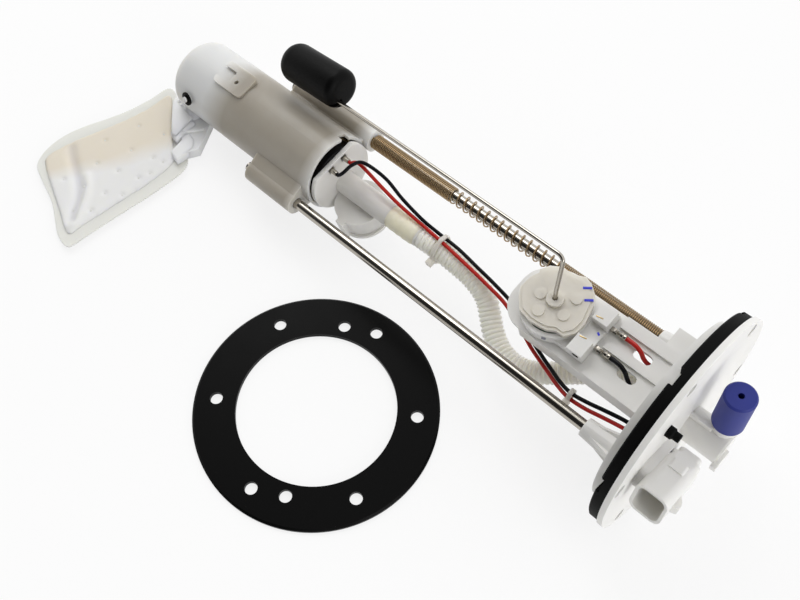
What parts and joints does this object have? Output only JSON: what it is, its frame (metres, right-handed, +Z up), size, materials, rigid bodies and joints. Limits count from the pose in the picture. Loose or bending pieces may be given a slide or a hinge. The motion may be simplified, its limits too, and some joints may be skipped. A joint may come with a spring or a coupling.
{
  "type": "fuel pump",
  "caption": "In-tank fuel pump module lying on its side: bolt-on flange, guide rods, sprung pump cup with strainer, float arm level sender, hose, wires and a steel lock ring beside it.",
  "frame": {"origin": "centre of the flange's bolt circle on its outer face", "axes": "+Z up from the table the module lies on, +X along the module from the pump to the flange, +Y away from the viewer of the picture; the flange's own axis is tilted up from +X by the lie of the module"},
  "size_m": [0.4405, 0.2378, 0.1256],
  "materials": {
    "black_plastic": "satin",
    "black_rubber": "satin",
    "black_steel": "black coating, satin",
    "blue_plastic": "soft, satin",
    "brass": "satin",
    "cap_white": "smooth",
    "carbon": "pressed carbon",
    "ceramic": "printed ceramic",
    "cloth": "fine woven nylon mesh",
    "copper": "enamelled copper and steel",
    "float_foam": "closed-cell foam",
    "hose_cream": "corrugated nylon",
    "mould_clear": "natural acetal, slightly translucent",
    "mould_white": "moulded nylon, semi-matt",
    "spring_steel": "oil-tempered, brownish",
    "steel": "bright drawn",
    "wire_black": "wire insulation",
    "wire_red": "wire insulation"
  },
  "bodies": {
    "flange": {"flange_cover": "mould_white", "flange_gasket": "black_rubber", "lock_ring": "black_steel", "near_rod": "steel", "far_rod": "steel", "push_nuts": "black_steel", "return_spring": "spring_steel", "connector_blades": "brass", "vent_stub": "black_rubber", "sender_housing": "mould_white", "resistor_card": "ceramic", "sender_cover": "mould_clear", "crimp_terminals": "brass", "sender_lead_red": "wire_red", "sender_lead_black": "wire_black", "fuel_hose": "hose_cream", "pump_wire_red": "wire_red", "pump_wire_black": "wire_black", "cable_ties": "mould_clear"},
    "cup": {"pump_cup": "mould_clear", "pump_isolator": "black_rubber", "pump_shell": "steel", "pump_magnets": "carbon", "inlet_plate": "black_plastic", "brush_holder": "black_plastic", "brushes": "carbon", "pump_terminals": "steel", "outlet_cover": "mould_clear", "regulator_cap": "cap_white", "regulator_o_ring": "black_rubber", "regulator_spring": "steel", "strainer_neck": "mould_clear", "strainer_bag": "cloth", "strainer_nut": "black_steel"},
    "rotor": {"armature": "copper", "impeller": "carbon"},
    "arm": {"wiper_rotor": "mould_clear", "float_arm": "steel", "float": "float_foam"},
    "ball": {"check_ball": "steel"},
    "valve": {"regulator_valve": "brass"},
    "cap": {"protective_cap": "blue_plastic"}
  },
  "joints": [
    {"name": "cup_slide", "type": "slide", "parent": "flange", "child": "cup", "axis": [0.9944, 0, 0.1055], "range_m": [0, 0.07], "stiffness_N_per_m": 150, "springref_m": -0.1, "deforming": ["return_spring", "fuel_hose", "pump_wire_red", "pump_wire_black", "cable_ties"]},
    {"name": "float_arm_hinge", "type": "hinge", "parent": "flange", "child": "arm", "pos_m": [-0.08402, 0.00575, 0.00047], "axis": [0.1034, 0.1994, -0.9745], "range_deg": [0, 75]},
    {"name": "rotor_spin", "type": "hinge", "parent": "cup", "child": "rotor", "pos_m": [-0.29833, 0, -0.03166], "axis": [0.9944, 0, 0.1055], "continuous": true},
    {"name": "check_ball_lift", "type": "slide", "parent": "cup", "child": "ball", "axis": [0.9944, 0, 0.1055], "range_m": [0, 0.0008]},
    {"name": "regulator_lift", "type": "slide", "parent": "cup", "child": "valve", "axis": [0.1034, 0.1994, -0.9745], "range_m": [0, 0.001], "deforming": ["regulator_spring"]},
    {"name": "cap_pull", "type": "slide", "parent": "flange", "child": "cap", "axis": [-0.1055, -0.0314, 0.9939], "range_m": [0, 0.04]}
  ]
}
